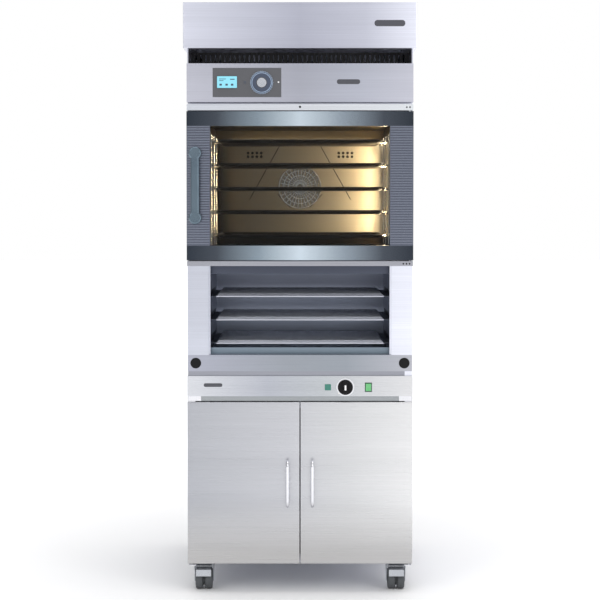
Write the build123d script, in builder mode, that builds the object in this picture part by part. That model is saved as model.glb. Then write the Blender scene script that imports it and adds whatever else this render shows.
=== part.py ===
"""Convection oven for bakery trays on a tray rack and a proofer, with a steam hood, on castors.

Millimetres, +Z up, front towards -Y. The origin is on the floor under the middle of the whole unit.
"""

from build123d import *
import math
import os

os.makedirs("parts", exist_ok=True)

# ---------------------------------------------------------------- driving dimensions
casing_width = 800.0  # side panel to side panel
overall_depth = 880.0  # oven door handle to rear outlet
castor_height = 100.0
proofer_height = 678.0
rack_height = 391.0
oven_height = 715.0
intake_height = 51.0
hood_height = 160.0
hood_side = 10.0  # hood past the casing's side
sheet = 1.5  # stainless sheet of every casing and cover

door_reach = 53.0  # oven door glass in front of the casing
proofer_reach = 51.0  # proofer door in front of the casing
handle_reach = 42.0  # oven door handle in front of its glass
outlet_reach = 20.0  # rear fittings behind the back panel
hood_overhang = 80.0  # hood in front of the casing
seal_depth = 6.0
seal_gap = 0.3  # closed seal to the face that it meets
door_gap = 3.0  # between a door and what is beside it
running = 0.05  # radial clearance of pins and shafts

tray_width = 600.0  # bakery tray, long side to the front
tray_depth = 400.0
tray_sheet = 1.5
tray_lip = 12.0  # height and reach of the sloping lip

cavity_side = 30.0  # tray edge to the outside of the oven liner
cavity_depth = 545.0
cavity_inset = 40.0  # door edge to the outside of the liner, above and below
window_rim = 12.0  # liner edge to the window edge
oven_levels = 5
first_level = 37.0  # lowest tray above the liner
last_level = 68.0  # highest tray below the liner's top
baffle_depth = 70.0
fan_radius = 105.0
shaft_radius = 6.0

head_height = 136.0
head_gap = 7.0
top_trim_height = 22.0
bottom_trim_height = 17.0

base_band = 17.0  # set-back band under the rack's plinth
plinth_height = 58.0
pillar_width = 74.0
storage_levels = 3
first_runner = 39.0
runner_pitch = 83.5

fascia_height = 72.0
hinge_strip = 18.0
proofer_wall = 40.0
proofer_floor = 30.0
proofer_back = 60.0
proofer_levels = 8

hinge_inset = 12.0  # hinge axis from the casing side
hinge_ahead = 26.0  # hinge axis in front of the casing
pin_radius = 4.0
pin_length = 18.0

wheel_radius = 37.5
wheel_width = 26.0
wheel_space = 8.0  # between a castor's two wheels
castor_inset = 54.0  # swivel axis from the casing side
castor_trail = 30.0
axle_radius = 5.0

# ---------------------------------------------------------------- planes worked out from them
half = casing_width / 2
hood_width = casing_width + 2 * hood_side
casing_front = -overall_depth / 2 + handle_reach + door_reach
casing_back = overall_depth / 2 - outlet_reach
oven_face = casing_front - door_reach
proofer_face = casing_front - proofer_reach
hood_front = casing_front - hood_overhang

proofer_z = castor_height
rack_z = proofer_z + proofer_height
oven_z = rack_z + rack_height
intake_z = oven_z + oven_height
hood_z = intake_z + intake_height
top_z = hood_z + hood_height

hinge_x = half - hinge_inset
hinge_y = casing_front - hinge_ahead
bore_radius = pin_radius + running


def block(x, y, z, mode=Mode.ADD):
    """A box from the low to the high value on each axis, put into the piece being built."""
    with Locations(((x[0] + x[1]) / 2, (y[0] + y[1]) / 2, (z[0] + z[1]) / 2)):
        Box(x[1] - x[0], y[1] - y[0], z[1] - z[0], mode=mode)


def both(low, high, side):
    """The span from low to high on the right side, or its mirror on the left."""
    return (low, high) if side > 0 else (-high, -low)


def rod(start, end, radius, mode=Mode.ADD):
    """A round bar from one point to another, put into the piece being built."""
    axis = Vector(*end) - Vector(*start)
    with Locations(Plane(origin=start, z_dir=axis.normalized())):
        Cylinder(radius, axis.length, align=(Align.CENTER, Align.CENTER, Align.MIN), mode=mode)


def front_plane(x, y, z):
    """An upright plane that faces the front, with its own x along +X and its own y along +Z."""
    return Plane(origin=(x, y, z), x_dir=(1, 0, 0), z_dir=(0, -1, 0))


def save(piece, name):
    """Labels a finished piece and writes its file."""
    piece.part.label = name
    export_step(piece.part, f"parts/{name}.step")


# ================================================================ proofer cabinet
liner_x = half - proofer_wall
fascia_z = rack_z - fascia_height
strip_z = fascia_z - hinge_strip
liner_z = (proofer_z + proofer_floor, strip_z - proofer_floor)
liner_y = (casing_front, casing_back - proofer_back)

with BuildPart() as proofer_casing:
    block((-half, half), (casing_front, casing_back), (proofer_z, rack_z))
    offset(amount=-sheet, openings=proofer_casing.faces().sort_by(Axis.Y)[0])
    block((-half, half), (casing_front, casing_front + sheet), (proofer_z, rack_z))
    block((-liner_x, liner_x), (casing_front, casing_front + sheet), liner_z, Mode.SUBTRACT)
save(proofer_casing, "proofer_casing")

with BuildPart() as proofer_liner:
    block((-liner_x, liner_x), liner_y, liner_z)
    offset(amount=-sheet, openings=proofer_liner.faces().sort_by(Axis.Y)[0])
save(proofer_liner, "proofer_liner")

# uprights with angle runners for trays, one ladder at each side
ladder_x = tray_width / 2 + 18
upright = 14.0
ladder_z = (liner_z[0] + sheet, liner_z[1] - sheet)
ladder_y = (casing_front + 70, casing_front + 70 + tray_depth)
ladder_pitch = (ladder_z[1] - ladder_z[0] - 80) / (proofer_levels - 1)
with BuildPart() as proofer_tray_racks:
    for side in (-1, 1):
        for y in ladder_y:
            block(both(ladder_x, ladder_x + upright, side), (y - upright / 2, y + upright / 2), ladder_z)
        for level in range(proofer_levels):
            z = ladder_z[0] + 60 + level * ladder_pitch
            block(both(tray_width / 2 - 12, ladder_x, side), ladder_y, (z, z + sheet))
            block(both(ladder_x - sheet, ladder_x, side), ladder_y, (z, z + 16))
            for y in ladder_y:
                block(both(ladder_x - 4, ladder_x, side), (y - upright / 2, y + upright / 2), (z, z + 16))
save(proofer_tray_racks, "proofer_tray_racks")

# open water pan with a bent heating rod over it
pan_length = 260.0
pan_width = 180.0
pan_height = 34.0
pan_y = liner_y[1] - sheet - pan_width / 2 - 20
pan_z = liner_z[0] + sheet
rod_radius = 4.0
with BuildPart() as humidifier:
    with BuildSketch(Plane.XY.offset(pan_z)):
        with Locations((0, pan_y)):
            RectangleRounded(pan_length, pan_width, 20)
    extrude(amount=pan_height)
    offset(amount=-sheet, openings=humidifier.faces().sort_by(Axis.Z)[-1])
    element_z = pan_z + sheet + rod_radius
    reach = pan_length / 2 - 30
    with BuildLine() as element_path:
        FilletPolyline(
            (-reach, pan_y - 50, element_z + 40),
            (-reach, pan_y - 50, element_z),
            (reach, pan_y - 50, element_z),
            (reach, pan_y + 50, element_z),
            (-reach, pan_y + 50, element_z),
            (-reach, pan_y + 50, element_z + 40),
            radius=14,
        )
    with BuildSketch(Plane(origin=element_path.line @ 0, z_dir=element_path.line % 0)):
        Circle(rod_radius)
    sweep()
save(humidifier, "humidifier")

# control fascia: folded cover over the set-back hinge strip
knob_radius = 26.5
knob_x = 161.0
control_z = rack_z - 40
lamp_x = 99.0
lamp_size = 22.0
rocker_x = 243.0
rocker_size = (25.0, 33.0)
spindle_radius = 3.0
strip_face = proofer_face + 11
with BuildPart() as proofer_fascia:
    with BuildSketch(Plane.YZ.offset(-half)):
        with BuildLine():
            Polyline(
                (casing_front, strip_z),
                (strip_face, strip_z),
                (strip_face, fascia_z),
                (proofer_face, fascia_z),
                (proofer_face, rack_z),
                (casing_front, rack_z),
                close=True,
            )
        make_face()
    extrude(amount=casing_width)
    offset(amount=-sheet, openings=proofer_fascia.faces().sort_by(Axis.Y)[-1])
    with Locations(front_plane(knob_x, proofer_face, control_z)):
        Hole(spindle_radius + 2)
    front_skin = (proofer_face, proofer_face + sheet)
    block(
        (lamp_x - lamp_size / 2, lamp_x + lamp_size / 2),
        front_skin,
        (control_z - lamp_size / 2, control_z + lamp_size / 2),
        Mode.SUBTRACT,
    )
    block(
        (rocker_x - rocker_size[0] / 2, rocker_x + rocker_size[0] / 2),
        front_skin,
        (control_z - rocker_size[1] / 2, control_z + rocker_size[1] / 2),
        Mode.SUBTRACT,
    )
save(proofer_fascia, "proofer_fascia")

with BuildPart() as pilot_lamp:
    with BuildSketch(front_plane(lamp_x, proofer_face + 18, control_z)):
        Rectangle(lamp_size, lamp_size)
    extrude(amount=21)
    lamp_rim = pilot_lamp.faces().sort_by(Axis.Y)[0].edges()
    fillet(lamp_rim, radius=1.5)
save(pilot_lamp, "pilot_lamp")

# thermostat behind the fascia, with the bush that its knob's spindle turns in
with BuildPart() as thermostat_body:
    inner_face = proofer_face + sheet
    block(
        (knob_x - 24, knob_x + 24),
        (inner_face, inner_face + 32),
        (control_z - 20, control_z + 20),
    )
    with Locations(front_plane(knob_x, inner_face, control_z)):
        Hole(spindle_radius + running, depth=20)
save(thermostat_body, "thermostat_body")

knob_gap = 1.0  # knob in front of the fascia
knob_depth = 20.0
with BuildPart() as thermostat_knob:
    with BuildSketch(front_plane(knob_x, proofer_face - knob_gap, control_z)):
        Circle(knob_radius)
    extrude(amount=8)
    with BuildSketch(front_plane(knob_x, proofer_face - knob_gap - 8, control_z)):
        SlotOverall(2 * knob_radius - 6, 17, rotation=90)
    extrude(amount=knob_depth - 8)
    fillet(thermostat_knob.faces().sort_by(Axis.Y)[0].edges(), radius=2)
    rod(
        (knob_x, proofer_face - knob_gap, control_z),
        (knob_x, proofer_face + sheet + 18, control_z),
        spindle_radius,
    )
save(thermostat_knob, "thermostat_knob")

# rocker switch: a frame through the fascia and a rocker on a cross pin
frame_wall = 2.5
rocker_pin = 1.5
rocker_half = (rocker_size[0] / 2 - frame_wall - 0.4, rocker_size[1] / 2 - frame_wall - 0.9)
pivot_y = proofer_face + 4
with BuildPart() as switch_frame:
    with BuildSketch(front_plane(rocker_x, proofer_face + 22, control_z)):
        Rectangle(*rocker_size)
    extrude(amount=24)
    with BuildSketch(front_plane(rocker_x, proofer_face + 16, control_z)):
        Rectangle(rocker_size[0] - 2 * frame_wall, rocker_size[1] - 2 * frame_wall)
    extrude(amount=18, mode=Mode.SUBTRACT)
    rod(
        (rocker_x - rocker_size[0] / 2 + 1, pivot_y, control_z),
        (rocker_x + rocker_size[0] / 2 - 1, pivot_y, control_z),
        rocker_pin,
    )
save(switch_frame, "switch_frame")

with BuildPart() as switch_rocker:
    with BuildSketch(Plane.YZ.offset(rocker_x - rocker_half[0])):
        with BuildLine():
            nose = (proofer_face - 3.2, control_z - rocker_half[1])
            crown = (proofer_face - 1.6, control_z)
            tail = (proofer_face - 3.2, control_z + rocker_half[1])
            ThreePointArc(nose, crown, tail)
            Line(tail, (pivot_y + 3, control_z + rocker_half[1] - 2))
            Line((pivot_y + 3, control_z + rocker_half[1] - 2), (pivot_y + 3, control_z - rocker_half[1] + 2))
            Line((pivot_y + 3, control_z - rocker_half[1] + 2), nose)
        make_face()
    extrude(amount=2 * rocker_half[0])
    rod(
        (rocker_x - rocker_half[0], pivot_y, control_z),
        (rocker_x + rocker_half[0], pivot_y, control_z),
        rocker_pin + running,
        Mode.SUBTRACT,
    )
save(switch_rocker, "switch_rocker")

# ================================================================ proofer doors and hinges
door_z = (proofer_z + 6, strip_z - door_gap)
door_inner = casing_front - seal_depth + 1  # back face of the door, where its seal is seated
brace = 46.0  # width of a hinge bracket
bracket_sheet = 3.0
handle_span = 173.0
handle_x = 44.0
handle_z = 396.5
handle_bar = 5.5  # radius
handle_stand = 34.0
seal_inset = 26.0
seal_width = 14.0

for side, name in ((-1, "left"), (1, "right")):
    with BuildPart() as proofer_door:
        block(both(door_gap / 2, half, side), (proofer_face, door_inner - sheet), door_z)
        fillet(proofer_door.faces().sort_by(Axis.Y)[0].edges(), radius=2)
        offset(amount=-sheet, openings=proofer_door.faces().sort_by(Axis.Y)[-1])
        rod(
            (side * hinge_x, hinge_y, door_z[0] - 1),
            (side * hinge_x, hinge_y, door_z[1] + 1),
            bore_radius,
            Mode.SUBTRACT,
        )
        block(both(door_gap / 2, half, side), (door_inner - sheet, door_inner), door_z)
    save(proofer_door, f"proofer_door_{name}")

    with BuildPart() as proofer_handle:
        top = handle_z + handle_span / 2 - handle_bar
        bottom = handle_z - handle_span / 2 + handle_bar
        out = proofer_face - handle_stand
        with BuildLine() as bow:
            FilletPolyline(
                (side * handle_x, proofer_face, bottom),
                (side * handle_x, out, bottom),
                (side * handle_x, out, top),
                (side * handle_x, proofer_face, top),
                radius=20,
            )
        with BuildSketch(Plane(origin=bow.line @ 0, z_dir=bow.line % 0)):
            Circle(handle_bar)
        sweep()
    save(proofer_handle, f"proofer_handle_{name}")

    with BuildPart() as proofer_seal:
        outer = (both(door_gap / 2 + 4, half - seal_inset, side), (door_z[0] + 14, door_z[1] - 5))
        inner = tuple((a + seal_width, b - seal_width) for a, b in outer)
        span = (door_inner, casing_front - seal_gap)
        block(outer[0], span, outer[1])
        block(inner[0], span, inner[1], Mode.SUBTRACT)
    save(proofer_seal, f"proofer_seal_{name}")

# hinge brackets: a plate, a tongue over the door's edge and a pin into the door
with BuildPart() as hinge_brackets:
    for side in (-1, 1):
        plate_y = (strip_face - 5, strip_face)
        block(both(half - 2 - brace, half - 2, side), plate_y, (fascia_z - hinge_strip + 0.5, fascia_z))
        tongue_z = (strip_z - door_gap + 0.5, strip_z)
        block(both(half - 2 - 26, half - 2, side), (strip_face - 5, hinge_y + 12), tongue_z)
        pin_x = side * hinge_x
        rod((pin_x, hinge_y, tongue_z[0]), (pin_x, hinge_y, door_z[1] - pin_length), pin_radius)
        foot_z = (proofer_z - bracket_sheet, proofer_z)
        block(both(half - 2 - 26, half - 2, side), (hinge_y - 14, casing_front + 8), foot_z)
        rod((pin_x, hinge_y, foot_z[1]), (pin_x, hinge_y, door_z[0] + pin_length), pin_radius)
save(hinge_brackets, "hinge_brackets")

# ================================================================ tray rack
rack_half = half - 2
plinth_z = (rack_z + base_band, rack_z + base_band + plinth_height)
rack_floor = plinth_z[1]
aisle = half - 2 - pillar_width  # half the width of the rack's opening
rack_depth = tray_depth + 90
with BuildPart() as rack_housing:
    block((-rack_half, rack_half), (casing_front, casing_back), (rack_z, oven_z))
    offset(amount=-sheet, openings=rack_housing.faces().sort_by(Axis.Y)[0])
    # inner compartment: floor, back and two side walls welded to the outer shell
    compartment = (casing_front, casing_front + rack_depth)
    block((-rack_half + sheet, rack_half - sheet), compartment, (rack_floor, rack_floor + sheet))
    back_y = (compartment[1] - sheet, compartment[1])
    block((-rack_half + sheet, rack_half - sheet), back_y, (rack_floor + sheet, oven_z - sheet))
    for side in (-1, 1):
        block(both(aisle, aisle + sheet, side), compartment, (rack_floor + sheet, oven_z - sheet))
    # folded lips over and under the opening, and the set-back band under the plinth
    lip_y = (casing_front, casing_front + sheet)
    block((-aisle, aisle), lip_y, (oven_z - 30, oven_z - sheet))
    block((-aisle, aisle), lip_y, (rack_floor + sheet, rack_floor + 22))
    block((-rack_half, rack_half), (proofer_face + 8, casing_front), (rack_z, rack_z + sheet))
    block((-rack_half, rack_half), (proofer_face + 8, proofer_face + 8 + sheet), (rack_z, plinth_z[0]))
save(rack_housing, "rack_housing")

with BuildPart() as rack_pillars:
    for side in (-1, 1):
        block(both(aisle, rack_half, side), (proofer_face, proofer_face + sheet), (rack_floor, oven_z))
        for x in (aisle, rack_half - sheet):
            block(both(x, x + sheet, side), (proofer_face + sheet, casing_front), (rack_floor, oven_z))
        # lip turned outwards along the opening
        fold_y = proofer_face + 10
        block(both(aisle - 6, aisle, side), (fold_y, fold_y + sheet), (rack_floor, oven_z))
save(rack_pillars, "rack_pillars")

cap_radius = 19.0
cap_x = half - 30
cap_z = (plinth_z[0] + plinth_z[1]) / 2
with BuildPart() as rack_plinth:
    block((-rack_half, rack_half), (proofer_face, casing_front), plinth_z)
    offset(amount=-sheet, openings=rack_plinth.faces().sort_by(Axis.Y)[-1])
    for side in (-1, 1):
        with Locations(front_plane(side * cap_x, proofer_face, cap_z)):
            Hole(cap_radius - 4, depth=sheet)
save(rack_plinth, "rack_plinth")

with BuildPart() as plinth_plugs:
    for side in (-1, 1):
        rod((side * cap_x, proofer_face - 3, cap_z), (side * cap_x, proofer_face, cap_z), cap_radius)
        rod((side * cap_x, proofer_face, cap_z), (side * cap_x, proofer_face + 12, cap_z), cap_radius - 4)
    rims = plinth_plugs.faces().filter_by(Axis.Y).group_by(Axis.Y)[0]
    fillet(rims.edges(), radius=1.5)
save(plinth_plugs, "plinth_plugs")

# runners: one angle at each side of every level
storage_y = casing_front - 38
with BuildPart() as rack_runners:
    for level in range(storage_levels):
        z = rack_floor + first_runner + level * runner_pitch
        for side in (-1, 1):
            run = (storage_y, storage_y + tray_depth + 30)
            block(both(tray_width / 2 - 14, aisle, side), (casing_front + 2, run[1]), (z - sheet, z))
            block(both(aisle - sheet, aisle, side), (casing_front + 2, run[1]), (z, z + 14))
save(rack_runners, "rack_runners")


def tray_solids(lip_up):
    """A shallow pan on the origin, its lip edge up or down: a flat floor and four lips that slope out.

    The lips meet the floor and each other in mitres, and the five solids stay separate.
    """
    base, sense = (0, 1) if lip_up else (tray_lip, -1)
    fold = tray_lip + tray_sheet / 2  # tray edge to the line where a lip leaves the floor
    lip_wall = 1.5 * tray_sheet  # level width of the sloping sheet
    floor_half = (tray_width / 2 - fold, tray_depth / 2 - fold)
    faces = sorted((base, base + sense * tray_sheet))
    with BuildPart() as floor:
        block((-floor_half[0], floor_half[0]), (-floor_half[1], floor_half[1]), faces)
    solids = [floor.part.solid()]
    for quarter in range(4):
        reach, length = floor_half if quarter % 2 == 0 else floor_half[::-1]
        foot = reach + tray_sheet / 2
        with BuildPart() as lip:
            with BuildSketch(Plane.XZ):
                with BuildLine():
                    Polyline(
                        (reach, base),
                        (foot, base),
                        (foot + tray_lip, base + sense * tray_lip),
                        (foot + tray_lip - lip_wall, base + sense * tray_lip),
                        (reach, base + sense * tray_sheet),
                        close=True,
                    )
                make_face()
            extrude(amount=length + 2 * fold, both=True)
            for side in (1, -1):
                mitre = Plane(origin=(reach, side * length, 0), z_dir=(-1, side, 0))
                split(bisect_by=mitre, keep=Keep.BOTTOM)
        solids.append(lip.part.solid().rotate(Axis.Z, 90 * quarter))
    return solids


def save_trays(places, lip_up, name):
    """Writes one node that holds a pan at each place."""
    pan = tray_solids(lip_up)
    solids = [solid.moved(Location(place)) for place in places for solid in pan]
    export_step(Compound(solids, label=name), f"parts/{name}.step")


for level in range(storage_levels):
    z = rack_floor + first_runner + level * runner_pitch
    save_trays([(0, storage_y + tray_depth / 2, z)], False, f"storage_tray_{level + 1}")

# ================================================================ oven body
face = (oven_face, casing_front)
bottom_trim = (oven_z, oven_z + bottom_trim_height)
head_z = intake_z - head_height
top_trim = (head_z - head_gap - top_trim_height, head_z - head_gap)
oven_door_z = (bottom_trim[1] + door_gap, top_trim[0] - door_gap)
cavity_x = tray_width / 2 + cavity_side
cavity_z = (oven_door_z[0] + cavity_inset, oven_door_z[1] - cavity_inset)
cavity_y = (casing_front, casing_front + cavity_depth)
cavity_rear = cavity_y[1] - sheet  # inner face of the liner's back
level_pitch = (cavity_z[1] - cavity_z[0] - first_level - last_level) / (oven_levels - 1)
levels = [cavity_z[0] + first_level + i * level_pitch for i in range(oven_levels)]
middle_z = (cavity_z[0] + cavity_z[1]) / 2

with BuildPart() as oven_casing:
    block((-half, half), (casing_front, casing_back), (oven_z, intake_z))
    offset(amount=-sheet, openings=oven_casing.faces().sort_by(Axis.Y)[0])
    block((-half, half), (casing_front, casing_front + sheet), (oven_z, intake_z))
    block((-cavity_x, cavity_x), (casing_front, casing_front + sheet), cavity_z, Mode.SUBTRACT)
save(oven_casing, "oven_casing")

with BuildPart() as oven_liner:
    block((-cavity_x, cavity_x), cavity_y, cavity_z)
    offset(amount=-sheet, openings=oven_liner.faces().sort_by(Axis.Y)[0])
    rod((0, cavity_rear - 1, middle_z), (0, cavity_y[1] + 1, middle_z), shaft_radius + 4, Mode.SUBTRACT)
save(oven_liner, "oven_liner")

motor_radius = 52.0
motor_length = 95.0
motor_y = cavity_y[1] + 30
with BuildPart() as fan_motor:
    rod((0, motor_y, middle_z), (0, motor_y + motor_length, middle_z), motor_radius)
    fillet(fan_motor.faces().sort_by(Axis.Y)[-1].edges(), radius=8)
    rod((0, cavity_y[1], middle_z), (0, motor_y, middle_z), shaft_radius + 14)
    rod((0, cavity_y[1] - 1, middle_z), (0, motor_y + 40, middle_z), shaft_radius + running, Mode.SUBTRACT)
save(fan_motor, "fan_motor")

with BuildPart() as insulation:
    inside = (casing_front + sheet, casing_back - sheet)
    block((-half + sheet, half - sheet), inside, (proofer_z + sheet, rack_z - sheet))
    block((-liner_x, liner_x), (inside[0], liner_y[1]), liner_z, Mode.SUBTRACT)
    block((-half + sheet, half - sheet), inside, (oven_z + sheet, intake_z - sheet))
    block((-cavity_x, cavity_x), (inside[0], cavity_y[1]), cavity_z, Mode.SUBTRACT)
    rod((0, cavity_y[1], middle_z), (0, casing_back, middle_z), motor_radius, Mode.SUBTRACT)
save(insulation, "insulation")

with BuildPart() as oven_trims:
    for span in (bottom_trim, top_trim):
        block((-half, half), (face[0], face[0] + sheet), span)
        for z in (span[0], span[1] - sheet):
            block((-half, half), (face[0] + sheet, face[1]), (z, z + sheet))
        # blind hole's bush for the door's hinge pin, welded inside the channel
        post = (hinge_x, hinge_y, span[0] + sheet)
        rod(post, (hinge_x, hinge_y, span[1] - sheet), pin_radius + 4)
    rod((hinge_x, hinge_y, top_trim[0]), (hinge_x, hinge_y, oven_door_z[1] - pin_length), pin_radius)
    rod((hinge_x, hinge_y, bottom_trim[1]), (hinge_x, hinge_y, oven_door_z[0] + pin_length), pin_radius)
save(oven_trims, "oven_trims")

# ---------------------------------------------------------------- air system in the cavity
baffle_x = tray_width / 2 - 20
baffle_z = (cavity_z[0] + 30, cavity_z[1] - 30)
baffle_face = cavity_rear - baffle_depth
grille_radius = 78.0
slot_count = 15
slot_width = 5.0
with BuildPart() as fan_baffle:
    block((-baffle_x, baffle_x), (baffle_face, cavity_rear), baffle_z)
    offset(amount=-sheet, openings=fan_baffle.faces().sort_by(Axis.Y)[-1])
    with BuildSketch(front_plane(0, baffle_face + sheet + 1, middle_z)):
        Circle(grille_radius)
        # uprights between the slots of the fan's inlet
        with GridLocations(2 * grille_radius / slot_count, 1, slot_count, 1):
            Rectangle(2 * grille_radius / slot_count - slot_width, 2 * grille_radius, mode=Mode.SUBTRACT)
    extrude(amount=sheet + 2, mode=Mode.SUBTRACT)
    # outlet slots down both ends
    with BuildSketch(Plane.YZ.offset(-baffle_x - 1)):
        with Locations((baffle_face + baffle_depth / 2, middle_z)):
            with GridLocations(1, 34, 1, 10):
                SlotOverall(baffle_depth - 26, 12)
    extrude(amount=2 * baffle_x + 2, mode=Mode.SUBTRACT)
save(fan_baffle, "fan_baffle")

fan_depth = 42.0
fan_y = cavity_rear - 14 - fan_depth
blade_count = 12
with BuildPart() as fan_wheel:
    rod((0, fan_y + fan_depth - 2, middle_z), (0, fan_y + fan_depth, middle_z), fan_radius)
    rod((0, fan_y + 12, middle_z), (0, fan_y + fan_depth - 2, middle_z), 16)
    rod((0, fan_y + fan_depth, middle_z), (0, motor_y + 38, middle_z), shaft_radius)
    with BuildSketch(Plane(origin=(0, fan_y + fan_depth - 2, middle_z), z_dir=(0, -1, 0))):
        with PolarLocations(fan_radius - 24, blade_count):
            Rectangle(42, 2)
    extrude(amount=fan_depth - 2)
save(fan_wheel, "fan_wheel")

ring_radius = fan_radius + 22
ring_y = cavity_rear - 30
with BuildPart() as heating_ring:
    with Locations(front_plane(0, ring_y, middle_z)):
        Torus(ring_radius, rod_radius)
    for x in (-12, 12):
        z = middle_z - math.sqrt(ring_radius**2 - x**2)
        rod((x, ring_y, z), (x, cavity_rear, z), rod_radius - 0.5)
save(heating_ring, "heating_ring")

# wire racks: uprights, and one bent rail under the end of each tray
wire = 3.0
rack_x = cavity_x - sheet - 9
rail_x = tray_width / 2 - wire
rail_drop = tray_lip - wire - (wire + running) * math.sqrt(2)  # rail's centre over a tray's bottom
rack_y = (casing_front + 50, casing_front + 50 + tray_depth - 60)
with BuildPart() as oven_wire_racks:
    for side in (-1, 1):
        for y in (rack_y[0], (rack_y[0] + rack_y[1]) / 2, rack_y[1]):
            foot = cavity_z[0] + sheet
            rod((side * rack_x, y, foot), (side * rack_x, y, levels[-1] + 30), wire)
        for y in rack_y:
            for z in (levels[0] + 20, levels[-1] + 20):
                rod((side * rack_x, y, z), (side * (cavity_x - sheet), y, z), wire)
        for z in levels:
            middle_y = (rack_y[0] + rack_y[1]) / 2
            rail_z = z + rail_drop
            rod((side * rack_x, middle_y, rail_z), (side * rail_x, middle_y, rail_z), wire - 0.4)
            with BuildLine() as rail:
                FilletPolyline(
                    (side * rack_x, rack_y[0], rail_z),
                    (side * rail_x, rack_y[0], rail_z),
                    (side * rail_x, rack_y[1], rail_z),
                    (side * rack_x, rack_y[1], rail_z),
                    radius=12,
                )
            with BuildSketch(Plane(origin=rail.line @ 0, z_dir=rail.line % 0)):
                Circle(wire)
            sweep()
save(oven_wire_racks, "oven_wire_racks")

oven_tray_y = casing_front + 28
save_trays([(0, oven_tray_y + tray_depth / 2, z) for z in levels], True, "baking_trays")

lamp_radius = 26.0
with BuildPart() as cavity_lamps:
    for gap in (0, 2):
        z = (levels[gap] + levels[gap + 1]) / 2
        y = (3 * rack_y[0] + rack_y[1]) / 4
        rod((cavity_x - sheet - 5, y, z), (cavity_x - sheet, y, z), lamp_radius)
    lenses = cavity_lamps.faces().filter_by(Axis.X).group_by(Axis.X)[0]
    fillet(lenses.edges(), radius=3)
save(cavity_lamps, "cavity_lamps")

# ================================================================ oven door, hinged on the right
door_half = half + 1
window_x = cavity_x - window_rim
window_z = (cavity_z[0] + window_rim, cavity_z[1] - window_rim)
glass = 4.0
oven_door_back = casing_front - seal_depth
glass_back = oven_face + glass
rebate = 8.0  # inner glass past the window's edge

with BuildPart() as oven_door_glass_outer:
    block((-door_half, door_half), (oven_face, glass_back), oven_door_z)
    chamfer(oven_door_glass_outer.faces().sort_by(Axis.Y)[0].edges(), length=1)
save(oven_door_glass_outer, "oven_door_glass_outer")

with BuildPart() as oven_door_frame:
    block((-door_half, door_half), (glass_back, oven_door_back), oven_door_z)
    block((-window_x, window_x), (glass_back, oven_door_back), window_z, Mode.SUBTRACT)
    # hollow behind the outer glass: the frame is a pressed channel
    offset(amount=-2, openings=oven_door_frame.faces().sort_by(Axis.Y)[0])
    # stepped rim that the inner glass is seated in
    rim = rebate + 2
    block(
        (-window_x - rim, window_x + rim),
        (oven_door_back - glass - 2, oven_door_back),
        (window_z[0] - rim, window_z[1] + rim),
    )
    block(
        (-window_x - rebate, window_x + rebate),
        (oven_door_back - glass, oven_door_back),
        (window_z[0] - rebate, window_z[1] + rebate),
        Mode.SUBTRACT,
    )
    block((-window_x, window_x), (glass_back, oven_door_back), window_z, Mode.SUBTRACT)
    rod(
        (hinge_x, hinge_y, oven_door_z[0] - 1),
        (hinge_x, hinge_y, oven_door_z[1] + 1),
        bore_radius,
        Mode.SUBTRACT,
    )
save(oven_door_frame, "oven_door_frame")

with BuildPart() as oven_door_glass_inner:
    block(
        (-window_x - rebate, window_x + rebate),
        (oven_door_back - glass, oven_door_back),
        (window_z[0] - rebate, window_z[1] + rebate),
    )
save(oven_door_glass_inner, "oven_door_glass_inner")

with BuildPart() as oven_door_seal:
    seal_x = cavity_x + 6
    seal_z = (cavity_z[0] - 6, cavity_z[1] + 6)
    span = (oven_door_back, casing_front - seal_gap)
    block((-seal_x - 12, seal_x + 12), span, (seal_z[0] - 12, seal_z[1] + 12))
    block((-seal_x, seal_x), span, seal_z, Mode.SUBTRACT)
save(oven_door_seal, "oven_door_seal")

grip_x = -half + 31
grip_z = (oven_door_z[0] + 128, oven_door_z[0] + 401)
grip_foot = 23.0  # radius of the round feet
grip_width = 31.0
with BuildPart() as oven_door_handle:
    out = (oven_face - handle_reach, oven_face - handle_reach + 20)
    for z in (grip_z[0] + grip_foot, grip_z[1] - grip_foot):
        rod((grip_x, oven_face, z), (grip_x, out[0], z), grip_foot)
    crowns = oven_door_handle.faces().filter_by(Axis.Y).group_by(Axis.Y)[0]
    fillet(crowns.edges(), radius=6)
    with BuildSketch(Plane.XY.offset(grip_z[0] + grip_foot)):
        with Locations((grip_x, (out[0] + out[1]) / 2)):
            RectangleRounded(grip_width, out[1] - out[0], 7)
    extrude(amount=grip_z[1] - grip_z[0] - 2 * grip_foot)
save(oven_door_handle, "oven_door_handle")

# ================================================================ oven head with its controls
panel_x = (-308.0, -66.0)
panel_z = (head_z + 17, head_z + 120)
dial_x = -135.0
dial_z = head_z + 68
dial_radius = 37.0
boss_radius = 19.0
button_radius = 16.5
dial_depth = 7.0
press_travel = 1.5
panel_face = oven_face - 1.5
with BuildPart() as oven_head:
    block((-half, half), face, (head_z, intake_z))
    offset(amount=-sheet, openings=oven_head.faces().sort_by(Axis.Y)[-1])
    block(panel_x, (face[0], face[0] + sheet), panel_z, Mode.SUBTRACT)
save(oven_head, "oven_head")

with BuildPart() as control_glass:
    block(panel_x, (panel_face, face[0] + sheet), panel_z)
    chamfer(control_glass.faces().sort_by(Axis.Y)[0].edges(), length=0.8)
    block((panel_x[0] - 6, panel_x[1] + 6), (face[0] + sheet, face[0] + 24), (panel_z[0] - 6, panel_z[1] + 6))
    rod((dial_x, panel_face, dial_z), (dial_x, panel_face - dial_depth + 1, dial_z), boss_radius)
    well = (dial_x, panel_face + 12, dial_z)
    rod(well, (dial_x, panel_face - dial_depth, dial_z), button_radius + running, Mode.SUBTRACT)
save(control_glass, "control_glass")

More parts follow.
